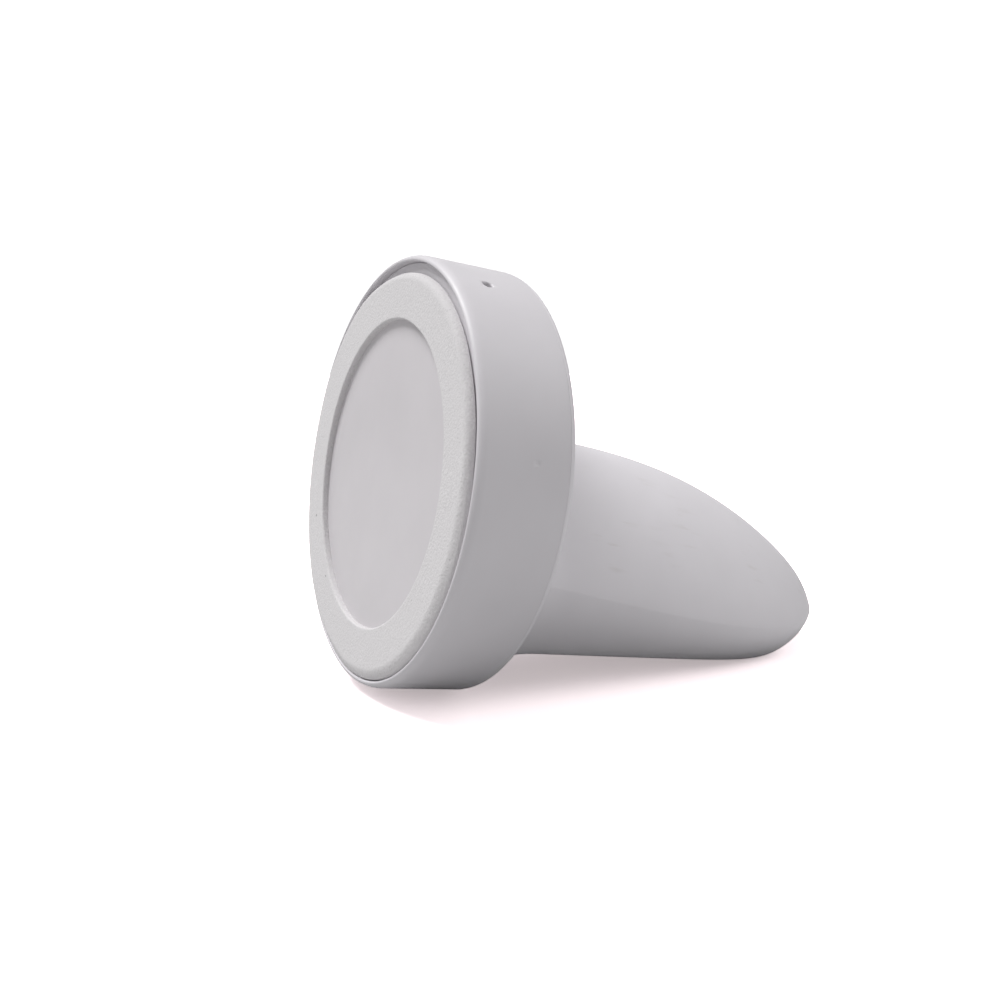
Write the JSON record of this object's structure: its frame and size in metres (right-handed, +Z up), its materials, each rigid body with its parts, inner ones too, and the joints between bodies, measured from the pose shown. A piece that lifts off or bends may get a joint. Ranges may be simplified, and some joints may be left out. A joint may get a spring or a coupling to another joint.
{
  "type": "car phone mount",
  "caption": "Magnetic phone mount: a short round charging head with a soft ring on its face turns on a blunt, tongue-shaped arm with a sticky foot pad underneath.",
  "frame": {"origin": "on the table, under the middle of the mount's outline, as it lies on the rim of its head and the toe of its arm", "axes": "+Z up from the table; the phone side faces -Y and leans back 8.65 degrees; the arm points to +Y; +X is to the right seen from the phone side"},
  "size_m": [0.06, 0.0798, 0.061],
  "materials": {
    "white_plastic": "fine satin moulding, off-white",
    "smooth_plastic": "smooth satin, pale grey-white",
    "soft_foam": "soft fine-grained foam rubber, off-white",
    "inner_plastic": "plain moulding",
    "nickel": "nickel plate on magnets",
    "steel": "zinc-plated",
    "copper": "enamelled wire",
    "brass": "turned",
    "ferrite": "matt black",
    "board": "solder mask",
    "black_plastic": "plain moulding",
    "clear_plastic": "clear moulding"
  },
  "bodies": {
    "arm": {"arm_shell": "white_plastic", "base_cover": "white_plastic", "base_screw_1": "steel", "base_screw_2": "steel", "base_screw_3": "steel", "foot_pad": "soft_foam", "pivot_bolt": "steel", "spring_washer": "steel", "friction_washer": "black_plastic", "flat_washer": "steel", "pivot_nut": "steel"},
    "head": {"head_cup": "white_plastic", "front_plate": "white_plastic", "ring_pad": "soft_foam", "face_disc": "smooth_plastic", "magnet_carrier": "inner_plastic", "shunt_ring": "steel", "magnet_01": "nickel", "magnet_02": "nickel", "magnet_03": "nickel", "magnet_04": "nickel", "magnet_05": "nickel", "magnet_06": "nickel", "magnet_07": "nickel", "magnet_08": "nickel", "magnet_09": "nickel", "magnet_10": "nickel", "magnet_11": "nickel", "magnet_12": "nickel", "magnet_13": "nickel", "magnet_14": "nickel", "magnet_15": "nickel", "charging_coil": "copper", "ferrite_shield": "ferrite", "circuit_board": "board", "board_screw_1": "steel", "board_screw_2": "steel", "board_screw_3": "steel", "control_chip": "black_plastic", "power_inductor": "black_plastic", "capacitor_1": "brass", "capacitor_2": "brass", "usb_socket_shell": "steel", "usb_socket_tongue": "black_plastic", "light_pipe": "clear_plastic", "status_led": "clear_plastic", "pivot_bush": "brass"}
  },
  "joints": [
    {"name": "head_turn", "type": "hinge", "parent": "arm", "child": "head", "pos_m": [0, -0.02294, 0.02955], "axis": [0, -0.9886, 0.1504], "continuous": true}
  ]
}
